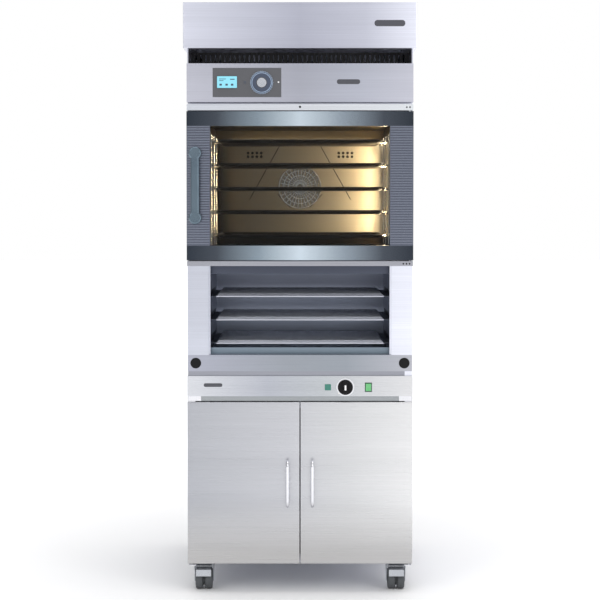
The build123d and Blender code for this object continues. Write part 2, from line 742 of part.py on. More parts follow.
with BuildPart() as program_dial:
    near = panel_face - seal_gap
    rod((dial_x, near, dial_z), (dial_x, near - dial_depth, dial_z), dial_radius)
    fillet(program_dial.faces().sort_by(Axis.Y)[0].edges(), radius=2.5)
    dial_bore = boss_radius + running
    rod((dial_x, near + 1, dial_z), (dial_x, near - dial_depth - 1, dial_z), dial_bore, Mode.SUBTRACT)
save(program_dial, "program_dial")

with BuildPart() as dial_button:
    button_face = panel_face - dial_depth - 1
    rod((dial_x, panel_face + 12 - press_travel - 0.5, dial_z), (dial_x, button_face, dial_z), button_radius)
    fillet(dial_button.faces().sort_by(Axis.Y)[0].edges(), radius=1)
save(dial_button, "dial_button")

# ================================================================ steam hood
intake_x = half - 2
window_y = (casing_front - 30, casing_back - 300)
with BuildPart() as hood_intake:
    # two cheeks and a back wall between the oven and the hood
    for side in (-1, 1):
        block(both(intake_x - 4, intake_x, side), (casing_front - 50, casing_back), (intake_z, hood_z))
    block((-intake_x + 4, intake_x - 4), (casing_back - 4, casing_back), (intake_z, hood_z))
save(hood_intake, "hood_intake")

# grease filter across the throat: a tray with upright slots
filter_y = casing_front + 90
filter_half = intake_x - 4
filter_slots = 44
filter_depth = 14.0
with BuildPart() as hood_filter:
    block((-filter_half, filter_half), (filter_y, filter_y + filter_depth), (intake_z, hood_z))
    offset(amount=-sheet, openings=hood_filter.faces().sort_by(Axis.Y)[-1])
    with BuildSketch(front_plane(0, filter_y + sheet + 1, (intake_z + hood_z) / 2)):
        with GridLocations((2 * filter_half - 20) / filter_slots, 1, filter_slots, 1):
            SlotOverall(intake_height - 16, 6, rotation=90)
    extrude(amount=sheet + 2, mode=Mode.SUBTRACT)
save(hood_filter, "hood_filter")

with BuildPart() as hood_shell:
    block((-hood_width / 2, hood_width / 2), (hood_front, casing_back), (hood_z, top_z))
    fillet(hood_shell.edges().filter_by(Axis.Z), radius=3)
    offset(amount=-sheet, openings=hood_shell.faces().sort_by(Axis.Z)[0])
    floor_x = hood_width / 2 - sheet
    block((-floor_x, floor_x), (hood_front + sheet, casing_back - sheet), (hood_z, hood_z + sheet))
    block((-half + 30, half - 30), window_y, (hood_z, hood_z + sheet), Mode.SUBTRACT)
save(hood_shell, "hood_shell")

stub_radius = 25.0
stub_z = hood_z + hood_height / 2
stub_x = -220.0
gland_x = 250.0
gland_z = intake_z - 60
gland_bore = 8.0
with BuildPart() as rear_connections:
    rod((stub_x, casing_back, stub_z), (stub_x, casing_back + 2, stub_z), stub_radius + 12)
    rod((stub_x, casing_back + 2, stub_z), (stub_x, casing_back + outlet_reach, stub_z), stub_radius)
    outlet_bore = stub_radius - 2
    outlet_end = (stub_x, casing_back + outlet_reach, stub_z)
    rod((stub_x, casing_back, stub_z), outlet_end, outlet_bore, Mode.SUBTRACT)
    with BuildSketch(Plane(origin=(gland_x, casing_back, gland_z), z_dir=(0, 1, 0))):
        RegularPolygon(16, 6)
    extrude(amount=8)
    rod((gland_x, casing_back + 8, gland_z), (gland_x, casing_back + 18, gland_z), 13)
    rod((gland_x, casing_back, gland_z), (gland_x, casing_back + 18, gland_z), gland_bore, Mode.SUBTRACT)
save(rear_connections, "rear_connections")

# ================================================================ castors
swivel_x = half - castor_inset
swivels = {
    "front_left": (-1, casing_front + castor_inset, -1),
    "front_right": (1, casing_front + castor_inset, -1),
    "rear_left": (-1, casing_back - castor_inset - 10, 1),
    "rear_right": (1, casing_back - castor_inset - 10, 1),
}
plate_sheet = 3.0
plate_half = (42.0, 36.0)
kingpin = 6.0
race_radius = 26.0
fork_z = (proofer_z - plate_sheet - 10, proofer_z - plate_sheet - 3)
with BuildPart() as castor_plates:
    for side, y, way in swivels.values():
        x = side * swivel_x
        bounds = (x - plate_half[0], x + plate_half[0]), (y - plate_half[1], y + plate_half[1])
        block(*bounds, (proofer_z - plate_sheet, proofer_z))
        rod((x, y, proofer_z - plate_sheet), (x, y, proofer_z - plate_sheet - 2.7), race_radius)
        rod((x, y, proofer_z - plate_sheet), (x, y, fork_z[0] - 3), kingpin)
        for dx in (-1, 1):
            for dy in (-1, 1):
                bolt = (x + dx * (plate_half[0] - 9), y + dy * (plate_half[1] - 9))
                rod((*bolt, proofer_z - plate_sheet - 2.5), (*bolt, proofer_z - plate_sheet), 5)
save(castor_plates, "castor_plates")

fork_half = 34.0
cheek = 2.5
pedal_pin = 3.0
pedal_half = 27.0
for name, (side, y, way) in swivels.items():
    x = side * swivel_x
    wheel_y = y + way * castor_trail
    near, far = sorted((y - way * 26, wheel_y + way * 14))
    pivot = (near - 7, fork_z[0] - 3)
    with BuildPart() as castor_fork:
        block((x - fork_half, x + fork_half), (near, far), fork_z)
        rod((x, y, fork_z[0] - 1), (x, y, fork_z[1] + 1), kingpin + running, Mode.SUBTRACT)
        for cheek_x in (x - fork_half, x + fork_half - cheek):
            with BuildSketch(Plane.YZ.offset(cheek_x)):
                with BuildLine():
                    Polyline(
                        (near, fork_z[0]),
                        (wheel_y - 9, wheel_radius - 9),
                        (wheel_y + 9, wheel_radius - 9),
                        (far, fork_z[0]),
                        close=True,
                    )
                make_face()
            extrude(amount=cheek)
        rod((x - fork_half, wheel_y, wheel_radius), (x + fork_half, wheel_y, wheel_radius), axle_radius)
        if way < 0:
            # ears in front of the fork that carry the brake pedal's pin
            for cheek_x in (x - fork_half, x + fork_half - cheek):
                block((cheek_x, cheek_x + cheek), (pivot[0] - 6, near + 4), (pivot[1] - 6, fork_z[1]))
            rod((x - fork_half, *pivot), (x + fork_half, *pivot), pedal_pin)
    save(castor_fork, f"castor_fork_{name}")

    with BuildPart() as castor_wheels:
        for centre in (x - (wheel_width + wheel_space) / 2, x + (wheel_width + wheel_space) / 2):
            low = centre - wheel_width / 2
            rod((low, wheel_y, wheel_radius), (low + wheel_width, wheel_y, wheel_radius), wheel_radius)
        fillet(castor_wheels.edges().filter_by(GeomType.CIRCLE), radius=4)
        spacer = (x - wheel_space / 2, x + wheel_space / 2)
        rod((spacer[0], wheel_y, wheel_radius), (spacer[1], wheel_y, wheel_radius), 11)
        ends = (x - fork_half, x + fork_half)
        rod(
            (ends[0], wheel_y, wheel_radius),
            (ends[1], wheel_y, wheel_radius),
            axle_radius + running,
            Mode.SUBTRACT,
        )
    save(castor_wheels, f"castor_wheels_{name}")

    if way < 0:
        with BuildPart() as castor_pedal:
            rod((x - pedal_half, *pivot), (x + pedal_half, *pivot), pedal_pin + 3)
            with BuildSketch(Plane.YZ.offset(x - pedal_half)):
                with BuildLine():
                    Polyline(
                        (pivot[0], pivot[1] + 5),
                        (pivot[0] - 20, pivot[1] - 8),
                        (pivot[0] - 27, pivot[1] - 30),
                        (pivot[0] - 24, pivot[1] - 31),
                        (pivot[0] - 17, pivot[1] - 11),
                        (pivot[0], pivot[1] - 1),
                        close=True,
                    )
                make_face()
            extrude(amount=2 * pedal_half)
            rod(
                (x - pedal_half, *pivot),
                (x + pedal_half, *pivot),
                pedal_pin + running,
                Mode.SUBTRACT,
            )
        save(castor_pedal, f"castor_pedal_{name}")
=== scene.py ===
"""The looks of a bakery convection oven with its steam hood, tray rack and proofer.

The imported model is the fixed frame, in metres with +Z up and the front towards -Y. Metal casings keep
their own shapes, and so do handles and glass: they get procedural finishes. Trays, castor wheels, the
control panel's details, blank plates, screw heads and the fan guard are modelled here.
"""

import math

import bmesh
import bpy
import numpy as np
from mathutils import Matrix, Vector


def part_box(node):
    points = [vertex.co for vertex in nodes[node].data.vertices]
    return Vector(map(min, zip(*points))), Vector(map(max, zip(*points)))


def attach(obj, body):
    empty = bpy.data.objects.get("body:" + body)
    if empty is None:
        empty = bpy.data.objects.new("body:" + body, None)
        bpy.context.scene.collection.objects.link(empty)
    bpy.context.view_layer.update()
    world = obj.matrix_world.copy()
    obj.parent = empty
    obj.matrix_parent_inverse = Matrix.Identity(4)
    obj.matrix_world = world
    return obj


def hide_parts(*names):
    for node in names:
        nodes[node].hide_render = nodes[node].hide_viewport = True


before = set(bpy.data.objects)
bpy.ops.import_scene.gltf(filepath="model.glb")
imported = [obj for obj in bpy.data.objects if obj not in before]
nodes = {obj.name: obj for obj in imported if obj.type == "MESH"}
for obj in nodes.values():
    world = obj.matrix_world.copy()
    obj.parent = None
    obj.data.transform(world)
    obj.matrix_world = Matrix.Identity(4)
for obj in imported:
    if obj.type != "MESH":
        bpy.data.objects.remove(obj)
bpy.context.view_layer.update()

MM = 0.001


# ---------------------------------------------------------------- small helpers
def linear(code):
    """An sRGB hex colour as linear red, green and blue, and an alpha of one."""
    values = [int(code[i:i + 2], 16) / 255 for i in (1, 3, 5)]
    return [v / 12.92 if v <= 0.04045 else ((v + 0.055) / 1.055) ** 2.4 for v in values] + [1.0]


def add(tree, kind, inputs=None, **settings):
    """Adds a node. Inputs go by name or number to a value or to another node's output."""
    made = tree.nodes.new(kind)
    for key, value in settings.items():
        setattr(made, key, value)
    for key, value in (inputs or {}).items():
        if isinstance(value, bpy.types.NodeSocket):
            tree.links.new(value, made.inputs[key])
        else:
            made.inputs[key].default_value = value
    return made


def begin(name):
    """A new material with an empty tree, its tree, and its Object coordinates."""
    made = bpy.data.materials.new(name)
    made.use_nodes = True
    made.node_tree.nodes.clear()
    place = add(made.node_tree, "ShaderNodeTexCoord").outputs["Object"]
    return made, made.node_tree, place


def end(made, shader):
    """Sends the shader to the material's output and returns the material."""
    add(made.node_tree, "ShaderNodeOutputMaterial", {"Surface": shader})
    return made


def grid_mesh(name, points, wrap_u=False, wrap_v=False, cap_u=False):
    """A mesh from a (u, v, 3) array of points: each cell of the grid is a quad, and the last row or
    column joins the first where it wraps. Capped ends close the first and last u rows."""
    nu, nv = points.shape[:2]
    number = np.arange(nu * nv).reshape(nu, nv)
    rows = np.vstack([number, number[:1]]) if wrap_u else number
    both = np.hstack([rows, rows[:, :1]]) if wrap_v else rows
    quads = np.stack([both[:-1, :-1], both[1:, :-1], both[1:, 1:], both[:-1, 1:]], -1).reshape(-1, 4)
    faces = quads.tolist()
    if cap_u:
        faces.append(number[0].tolist())
        faces.append(number[-1][::-1].tolist())
    mesh = bpy.data.meshes.new(name)
    mesh.from_pydata(points.reshape(-1, 3).tolist(), [], faces)
    mesh.update()
    return mesh


def piece(name, mesh, material, body, smooth=True, stands_for=()):
    """Puts a mesh into the scene as a finished piece that rides on a body."""
    made = bpy.data.objects.new(name, mesh)
    bpy.context.scene.collection.objects.link(made)
    mesh.materials.append(material)
    outward(mesh)
    mesh.shade_smooth() if smooth else mesh.shade_flat()
    if smooth:
        mesh.set_sharp_from_angle(angle=math.radians(35))
    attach(made, body)
    if stands_for:
        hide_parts(*stands_for)
    return made


def outward(mesh):
    """Turns the faces of a closed mesh outwards."""
    work = bmesh.new()
    work.from_mesh(mesh)
    bmesh.ops.remove_doubles(work, verts=work.verts, dist=1e-6)
    bmesh.ops.recalc_face_normals(work, faces=work.faces)
    work.to_mesh(mesh)
    work.free()


def joined(name, meshes):
    """One mesh from several, their points and faces one after the other."""
    points, faces, count = [], [], 0
    for mesh in meshes:
        here = np.empty(len(mesh.vertices) * 3, np.float32)
        mesh.vertices.foreach_get("co", here)
        points.append(here.reshape(-1, 3))
        faces += [[i + count for i in face.vertices] for face in mesh.polygons]
        count += len(mesh.vertices)
        bpy.data.meshes.remove(mesh)
    made = bpy.data.meshes.new(name)
    made.from_pydata(np.vstack(points).tolist(), [], faces)
    made.update()
    return made


# ---------------------------------------------------------------- shapes
def turned(name, profile, centre, axis, steps=48):
    """A turned solid. The profile is a list of (distance along the axis, radius); each point goes round
    the axis as radius times cosine and radius times sine of the angle, in the two other directions."""
    profile = np.array(profile, float)
    angle = np.linspace(0, 2 * np.pi, steps, endpoint=False)
    a, b = [i for i in range(3) if i != axis]
    points = np.zeros((len(profile), steps, 3))
    points[..., axis] = profile[:, :1]
    points[..., a] = profile[:, 1:] * np.cos(angle)
    points[..., b] = profile[:, 1:] * np.sin(angle)
    return grid_mesh(name, points + np.array(centre), wrap_v=True, cap_u=True)


def rounded_outline(width, height, radius, steps=5):
    """A rectangle with rounded corners as (x, y) points: each corner is a quarter circle about a point
    one radius in from both sides."""
    turn = np.linspace(0, np.pi / 2, steps)
    corners = []
    for i, (sx, sy) in enumerate(((1, 1), (-1, 1), (-1, -1), (1, -1))):
        angle = turn + i * np.pi / 2
        centre = np.array([sx * (width / 2 - radius), sy * (height / 2 - radius)])
        corners.append(centre + radius * np.stack([np.cos(angle), np.sin(angle)], -1))
    return np.vstack(corners)


def slab(name, low, high, axis, corner, edge=0.0):
    """A plate between two corners. Its outline is a rounded rectangle square to the axis, and its rim is
    a quarter circle of the edge's radius at both faces."""
    low, high = np.array(low, float), np.array(high, float)
    a, b = [i for i in range(3) if i != axis]
    size, middle = high - low, (high + low) / 2
    turn = np.linspace(0, np.pi / 2, 4)
    if edge:
        rings = [(low[axis] + edge - edge * math.cos(t), edge - edge * math.sin(t)) for t in turn]
        rings += [(high[axis] - edge + edge * math.sin(t), edge - edge * math.cos(t)) for t in turn]
    else:
        rings = [(low[axis], 0.0), (high[axis], 0.0)]
    points = []
    for along, inset in rings:
        outline = rounded_outline(size[a] - 2 * inset, size[b] - 2 * inset, max(corner - inset, 1e-5))
        ring = np.zeros((len(outline), 3))
        ring[:, axis] = along
        ring[:, a] = outline[:, 0] + middle[a]
        ring[:, b] = outline[:, 1] + middle[b]
        points.append(ring)
    return grid_mesh(name, np.array(points), wrap_v=True, cap_u=True)


# ---------------------------------------------------------------- finishes
def ramp(tree, place, tones):
    """A colour that changes from left to right. The tones are (0 at the left to 1 at the right, colour).
    The two ends lie at the two sides of the hood."""
    half_width = 410 * MM
    axes = add(tree, "ShaderNodeSeparateXYZ", {0: place})
    across = add(tree, "ShaderNodeMapRange", {
        "Value": axes.outputs["X"], "From Min": -half_width, "From Max": half_width,
    })
    made = add(tree, "ShaderNodeValToRGB", {0: across.outputs[0]})
    steps = made.color_ramp.elements
    while len(steps) < len(tones):
        steps.new(0.5)
    # The places come first, because a step that is moved past another may swap with it.
    for step, tone in zip(steps, tones):
        step.position = tone[0]
    for step, tone in zip(steps, tones):
        step.color = linear(tone[1])
    return made.outputs[0]


def between(tree, place, axis, low, high):
    """Nought below the low value of an axis, one above the high value, and even in between."""
    axes = add(tree, "ShaderNodeSeparateXYZ", {0: place})
    return add(tree, "ShaderNodeMapRange", {
        "Value": axes.outputs[axis], "From Min": low, "From Max": high,
    }).outputs[0]


def brushed_steel(name, tones, rough=0.30, spread=0.10, foot=None, inner=(), metal=1.0):
    """Stainless sheet, ground with a belt. The belt leaves fine lines one way, so each line is a little
    brighter or duller than the next, and wide soft bands lie over them. Real lines are 0.1 mm apart and
    are drawn coarser here, so that they show. The tones run from left to right: a painted reflection, in
    place of the broad reflections that the sheet's surroundings would give and the studio's own lights don't.
    Foot is a lower edge, an upper edge and the tone that it turns to below them. Inner lists boxes with tones
    of their own, at the bottom and top: painted shade, and painted light on the stored trays' tops. Metal
    below one scatters some light."""
    made, tree, place = begin(name)
    fine = 1 / (1.6 * MM)  # lines 1.6 mm apart, each a third of a metre long
    lines_at = add(tree, "ShaderNodeMapping", {"Vector": place, "Scale": (3.0, fine, fine)})
    lines = add(tree, "ShaderNodeTexNoise", {"Vector": lines_at.outputs[0], "Scale": 1.0, "Detail": 3.0})
    bands_at = add(tree, "ShaderNodeMapping", {"Vector": place, "Scale": (0.8, 0.8, 9.0)})
    bands = add(tree, "ShaderNodeTexNoise", {"Vector": bands_at.outputs[0], "Scale": 1.0, "Detail": 2.0})
    mixed = add(tree, "ShaderNodeMath", {0: lines.outputs["Fac"], 1: bands.outputs["Fac"]}, operation="ADD")
    tone = add(tree, "ShaderNodeMapRange", {
        "Value": mixed.outputs[0], "From Min": 0.7, "From Max": 1.3, "To Min": 0.92, "To Max": 1.06,
    })
    colour = ramp(tree, place, [(0.0, tones), (1.0, tones)] if isinstance(tones, str) else tones)
    if foot:
        low, high, code = foot
        colour = add(tree, "ShaderNodeMix", {
            0: between(tree, place, "Z", low, high), 6: linear(code), 7: colour,
        }, data_type="RGBA").outputs[2]
    for low, high, bottom, top in inner:
        shade = add(tree, "ShaderNodeMix", {
            0: between(tree, place, "Z", low[2], high[2]), 6: linear(bottom), 7: linear(top),
        }, data_type="RGBA").outputs[2]
        fade = 0.1 * MM
        depth = add(tree, "ShaderNodeMath", {
            0: between(tree, place, "Y", low[1], low[1] + fade),
            1: between(tree, place, "Y", high[1], high[1] + fade),
        }, operation="SUBTRACT")
        inside = add(tree, "ShaderNodeMath", {
            0: inside_of(tree, place, low, high), 1: depth.outputs[0],
        }, operation="MULTIPLY")
        colour = add(tree, "ShaderNodeMix", {
            0: inside.outputs[0], 6: colour, 7: shade,
        }, data_type="RGBA").outputs[2]
    colour = add(tree, "ShaderNodeVectorMath", {0: colour, "Scale": tone.outputs[0]}, operation="SCALE")
    gloss = add(tree, "ShaderNodeMapRange", {
        "Value": lines.outputs["Fac"], "To Min": rough - spread / 2, "To Max": rough + spread,
    })
    relief = add(tree, "ShaderNodeBump", {
        "Height": lines.outputs["Fac"], "Strength": 0.05, "Distance": 0.4 * MM,
    })
    steel = add(tree, "ShaderNodeBsdfPrincipled", {
        "Base Color": colour.outputs[0], "Metallic": metal, "Roughness": gloss.outputs[0],
        "Normal": relief.outputs[0],
    })
    return end(made, steel.outputs[0])


def plain_finish(name, light, dark, rough, grain_mm, metallic=0.0, bump=0.08, coat=0.0, glow=0.0, shine=0.5):
    """Moulded, cast or plated finish: two close tones in soft patches, and a fine grain that also
    varies the gloss. grain_mm is the size of the grain. Coat is a clear layer, glow is light from within,
    and shine is the strength of the plain reflection."""
    made, tree, place = begin(name)
    patch_scale = 14.0  # soft patches about 70 mm across
    patches = add(tree, "ShaderNodeTexNoise", {"Vector": place, "Scale": patch_scale, "Detail": 3.0})
    grain = add(tree, "ShaderNodeTexNoise", {"Vector": place, "Scale": 1 / (grain_mm * MM), "Detail": 2.0})
    colour = add(tree, "ShaderNodeMix", {
        0: patches.outputs["Fac"], 6: linear(dark), 7: linear(light),
    }, data_type="RGBA")
    gloss = add(tree, "ShaderNodeMapRange", {
        "Value": grain.outputs["Fac"], "To Min": max(rough - 0.08, 0.02), "To Max": rough + 0.08,
    })
    relief = add(tree, "ShaderNodeBump", {
        "Height": grain.outputs["Fac"], "Strength": bump, "Distance": 0.2 * MM,
    })
    body = add(tree, "ShaderNodeBsdfPrincipled", {
        "Base Color": colour.outputs[2], "Metallic": metallic, "Roughness": gloss.outputs[0],
        "Normal": relief.outputs[0], "Coat Weight": coat, "Coat Roughness": 0.05,
        "Specular IOR Level": shine,
    })
    if glow:
        body.inputs["Emission Color"].default_value = linear(light)
        body.inputs["Emission Strength"].default_value = glow
    return end(made, body.outputs[0])


def inside_of(tree, place, low, high):
    """One inside the rectangle from low to high in x and z, and nought outside it."""
    axes = add(tree, "ShaderNodeSeparateXYZ", {0: place})
    inside = None
    for axis, a, b in (("X", low[0], high[0]), ("Z", low[2], high[2])):
        for compare, limit in (("GREATER_THAN", a), ("LESS_THAN", b)):
            test = add(tree, "ShaderNodeMath", {
                0: axes.outputs[axis], 1: limit,
            }, operation=compare).outputs[0]
            inside = test if inside is None else add(tree, "ShaderNodeMath", {
                0: inside, 1: test,
            }, operation="MULTIPLY").outputs[0]
    return inside


# Real float glass has 1.52. It is set low, so that the pale room doesn't veil the oven's inside.
PANE_IOR = 1.14


def door_glass(name, window):
    """Toughened float glass with a ceramic print on its back. The print is a dark blue-grey with a fine
    metallic flake. Its tones are brightest at mid-width and fade to both ends, in place of one broad
    reflection; beside the window it carries thin level lines 9 mm apart. The window itself is clear with a
    faint grey tint, and reflects less than real glass does."""
    made, tree, place = begin(name)
    low, high = window
    clear = inside_of(tree, place, low, high)
    axes = add(tree, "ShaderNodeSeparateXYZ", {0: place})
    level = inside_of(tree, place, (-10, 0, low[2]), (10, 0, high[2]))
    pitch = 9.0 * MM
    wave = add(tree, "ShaderNodeMath", {0: axes.outputs["Z"], 1: pitch}, operation="FLOORED_MODULO")
    line_wide = 0.42 * pitch
    line = add(tree, "ShaderNodeMath", {0: wave.outputs[0], 1: line_wide}, operation="LESS_THAN")
    line = add(tree, "ShaderNodeMath", {0: line.outputs[0], 1: level}, operation="MULTIPLY")
    cloud_scale = 3.0  # clouds a third of a metre across
    cloud = add(tree, "ShaderNodeTexNoise", {"Vector": place, "Scale": cloud_scale, "Detail": 2.0})
    sheen = ramp(tree, place, [
        (0.0, "#2f3640"), (0.14, "#484e57"), (0.32, "#8a98a3"), (0.5, "#ccd9e3"),
        (0.68, "#939faa"), (0.86, "#4a5059"), (1.0, "#30363f")])
    cloudy = add(tree, "ShaderNodeMapRange", {"Value": cloud.outputs["Fac"], "To Min": 0.92, "To Max": 1.06})
    ground = add(tree, "ShaderNodeVectorMath", {0: sheen, "Scale": cloudy.outputs[0]}, operation="SCALE")
    beside = add(tree, "ShaderNodeMix", {
        0: level, 6: ground.outputs[0], 7: linear("#777c8a"),
    }, data_type="RGBA")
    lined = add(tree, "ShaderNodeMix", {
        0: line.outputs[0], 6: beside.outputs[2], 7: linear("#565b68"),
    }, data_type="RGBA")
    flake_scale = 900.0  # the real flake is under 0.1 mm; drawn about 1 mm across so that it shows
    flake = add(tree, "ShaderNodeTexNoise", {"Vector": place, "Scale": flake_scale, "Detail": 1.0})
    rough = add(tree, "ShaderNodeMapRange", {"Value": flake.outputs["Fac"], "To Min": 0.20, "To Max": 0.34})
    printed = add(tree, "ShaderNodeBsdfPrincipled", {
        "Base Color": lined.outputs[2], "Metallic": 1.0, "Roughness": rough.outputs[0],
        "Coat Weight": 0.15, "Coat Roughness": 0.02,
    })
    tint = add(tree, "ShaderNodeBsdfTransparent", {"Color": linear("#f0f1f2")})
    mirror = add(tree, "ShaderNodeBsdfPrincipled", {
        "Base Color": (1, 1, 1, 1), "Metallic": 1.0, "Roughness": 0.02,
    })
    bare = add(tree, "ShaderNodeFresnel", {"IOR": PANE_IOR})
    pane = add(tree, "ShaderNodeMixShader", {0: bare.outputs[0], 1: tint.outputs[0], 2: mirror.outputs[0]})
    both = add(tree, "ShaderNodeMixShader", {0: clear, 1: printed.outputs[0], 2: pane.outputs[0]})
    return end(made, both.outputs[0])


def clear_pane(name, tint):
    """Clear float glass: lets nearly all light through and mirrors more at a glancing angle. It reflects
    less than real glass does."""
    made, tree = begin(name)[:2]
    through = add(tree, "ShaderNodeBsdfTransparent", {"Color": linear(tint)})
    mirror = add(tree, "ShaderNodeBsdfPrincipled", {
        "Base Color": (1, 1, 1, 1), "Metallic": 1.0, "Roughness": 0.03,
    })
    bare = add(tree, "ShaderNodeFresnel", {"IOR": PANE_IOR})
    both = add(tree, "ShaderNodeMixShader", {0: bare.outputs[0], 1: through.outputs[0], 2: mirror.outputs[0]})
    return end(made, both.outputs[0])


rack_low, rack_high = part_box("rack_housing")
plinth_low, plinth_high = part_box("rack_plinth")
door_low, door_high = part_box("proofer_door_left")
trim_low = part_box("oven_trims")[0]
intake_low, intake_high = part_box("hood_intake")
pans_low, pans_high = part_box("baking_trays")
cavity_low, cavity_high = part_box("oven_liner")

OPEN = 1.0  # metres past the object: leaves a region open on a side where its piece has nothing else
pillar_wide = 76 * MM  # from the rack's side to the clear way in
lip_depth = 75 * MM  # deep enough to hold the folds over and under the way in
skin_inset = 8 * MM  # keeps a region clear of the rack's outer faces
floor_drop = 20 * MM  # how far the inner region reaches below the plinth's top
# Over this width at its right end, the band under the plinth is left without its painted shade, which reads
# as a painted highlight.
band_highlight_end = 26 * MM  # the band under the plinth stays bright over this width at its right end
duct_cheek = 6 * MM  # keeps a region clear of the intake's cheeks
duct_back = 8 * MM  # and of its back wall
rolled_edge = 2 * MM  # about the radius of a stored tray's bead

# Regions of a sheet, painted darker as shade: the low corner, the high corner, and the tones at the bottom
# and top.
# Painted shade on the rack's folds over and under the way in, and inside the rack.
rack_fold_shade = ((rack_low.x + pillar_wide, rack_low.y - OPEN, plinth_high.z),
              (rack_high.x - pillar_wide, rack_low.y + lip_depth, rack_high.z + MM), "#84929e", "#4d505d")
rack_inside_shade = ((rack_low.x + skin_inset, rack_low.y + lip_depth, plinth_high.z - floor_drop),
               (rack_high.x - skin_inset, rack_high.y - skin_inset, rack_high.z + MM), "#9097a5", "#8d92a2")
# Painted shade on the set-back band under the plinth.
base_band_shade = ((rack_low.x - OPEN, rack_low.y - OPEN, rack_low.z - OPEN),
             (rack_high.x - band_highlight_end, rack_low.y + lip_depth, plinth_low.z), "#8a8b93", "#9a9ca5")
# Painted shade inside the intake, near black.
duct_inside_shade = ((intake_low.x + duct_cheek, intake_low.y - OPEN, intake_low.z - OPEN),
               (intake_high.x - duct_cheek, intake_high.y - duct_back, intake_high.z + OPEN),
               "#1d1e22", "#26272c")
# Painted shade in the oven, above the top tray and below the lowest.
cavity_top_shade = ((cavity_low.x, cavity_low.y - OPEN, pans_high.z + 3 * MM),
               (cavity_high.x, cavity_high.y + OPEN, cavity_high.z + OPEN), "#55472f", "#40341f")
cavity_foot_shade = ((cavity_low.x, cavity_low.y - OPEN, cavity_low.z - OPEN),
                (cavity_high.x, cavity_high.y + OPEN, pans_low.z), "#2d2417", "#3a2e1d")


def stored_tray_top_light(number):
    """The flat top of a stored tray. It faces the dark underside of the next one, and is painted lighter
    than the bead as painted light, so that it still shows."""
    low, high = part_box(f"storage_tray_{number}")
    return ((low.x, low.y + rolled_edge, high.z - rolled_edge), (high.x, high.y, high.z + MM),
            "#e4e7ee", "#e4e7ee")


# Belt-ground stainless sheet: fine level lines and a soft grey, lighter to the right as a painted reflection.
casing_tones = [(0.0, "#c6c9d4"), (0.5, "#cdd0da"), (1.0, "#e8eaf5")]
casing_steel = brushed_steel("belt_ground_stainless", casing_tones)
# The same sheet folded into the rack, darker on its folds and inside, which stands for shade.
rack_steel = brushed_steel("belt_ground_stainless_rack", casing_tones,
                           inner=[rack_fold_shade, rack_inside_shade, base_band_shade])
# The hood's sheet, darker in its middle than at its ends as a painted reflection.
hood_steel = brushed_steel("belt_ground_stainless_hood", [
    (0.0, "#d4d6e2"), (0.5, "#b7b9c7"), (0.78, "#c8cad7"), (1.0, "#eceefa")])
# The head's sheet, a duller grey than the casing, darker in its middle as a painted reflection.
head_steel = brushed_steel("belt_ground_stainless_head", [
    (0.0, "#c0c1cc"), (0.5, "#acaeb9"), (0.75, "#b7bac6"), (1.0, "#c8c9d4")])
# Finer grit on the control fascia: smoother, lighter at the ends as a painted reflection, with its return
# fold along the foot painted darker as shade.
fascia_steel = brushed_steel("fine_ground_stainless", [
    (0.0, "#d0d2d7"), (0.36, "#b0b3bc"), (0.6, "#b8bcc0"), (1.0, "#d8d8da")], rough=0.26,
    foot=(door_high.z + 19 * MM, door_high.z + 21 * MM, "#9ca0a3"))
# The plinth's sheet, a mid grey that includes some of its shade.
plinth_steel = brushed_steel("belt_ground_stainless_plinth", [
    (0.0, "#acaebb"), (0.45, "#999ea6"), (0.7, "#989ea6"), (1.0, "#b6b7bf")])
# Trim with a finer grind: a bright sheet, lighter to the right as a painted reflection, and greyer on the
# trim under the door as painted shade.
trim_steel = brushed_steel("bright_trim_stainless", [(0.0, "#d2d6de"), (0.5, "#dcdfe5"), (1.0, "#e8ecf0")],
                           rough=0.22, foot=(trim_low.z + 30 * MM, trim_low.z + 40 * MM, "#a6a7af"))
# The proofer's doors: warmer grey, lighter to the right as a painted reflection, and even towards the foot.
door_steel = brushed_steel("belt_ground_stainless_door", [
    (0.0, "#aaacb2"), (0.45, "#babbc0"), (0.7, "#c6c7c9"), (1.0, "#dadadb")], rough=0.27,
    foot=(door_low.z + 30 * MM, door_low.z + 230 * MM, "#bab9b9"))
# Satin stainless browned by baking: straw to cream. The near-white at the right is painted light, and the
# dark left, top and foot are painted shade.
cavity_steel = brushed_steel("satin_cavity_stainless", [
    (0.08, "#2a221a"), (0.2, "#8d816d"), (0.5, "#b5a892"), (0.8, "#dbd0ba"), (0.93, "#fff7e6")],
    rough=0.34, spread=0.12, metal=0.72, inner=[cavity_top_shade, cavity_foot_shade])
# Satin liner of the proofer: neutral and soft.
chamber_steel = brushed_steel("satin_chamber_stainless", "#a9a8a6", rough=0.36)
# Stainless set a dark grey, rougher than the casing.
dark_steel = brushed_steel("dark_grey_stainless", "#5f656f", rough=0.40)
# The intake's cheeks are ground, and its inside is painted near black as shade.
duct_steel = brushed_steel("duct_stainless", "#c4c6d1", inner=[duct_inside_shade])
# Stored trays: rolled aluminium with a soft sheen, and painted light on their flat tops.
stored_metal = brushed_steel("stored_aluminium", "#c3c6cf", rough=0.42,
                             inner=[stored_tray_top_light(number) for number in (1, 2, 3)])
# Near-black and matt, with hardly any highlight: the hood's filter mesh, and painted shade on the discs that
# stand for vent holes.
black_mesh_and_hole_shade = plain_finish("near_black_mesh_and_hole_shade", "#1a1b1f", "#101114", 0.6, 1.0)
# Mirror-polished stainless: sharp bright highlights.
polished = plain_finish("polished_stainless", "#e6e6ea", "#d4d5da", 0.12, 6.0, metallic=1.0, bump=0.02)
# Electropolished wire: a sharp, slightly warm glint.
wire_chrome = plain_finish("electropolished_wire", "#e9e6df", "#cfcac0", 0.16, 4.0, metallic=1.0, bump=0.02)
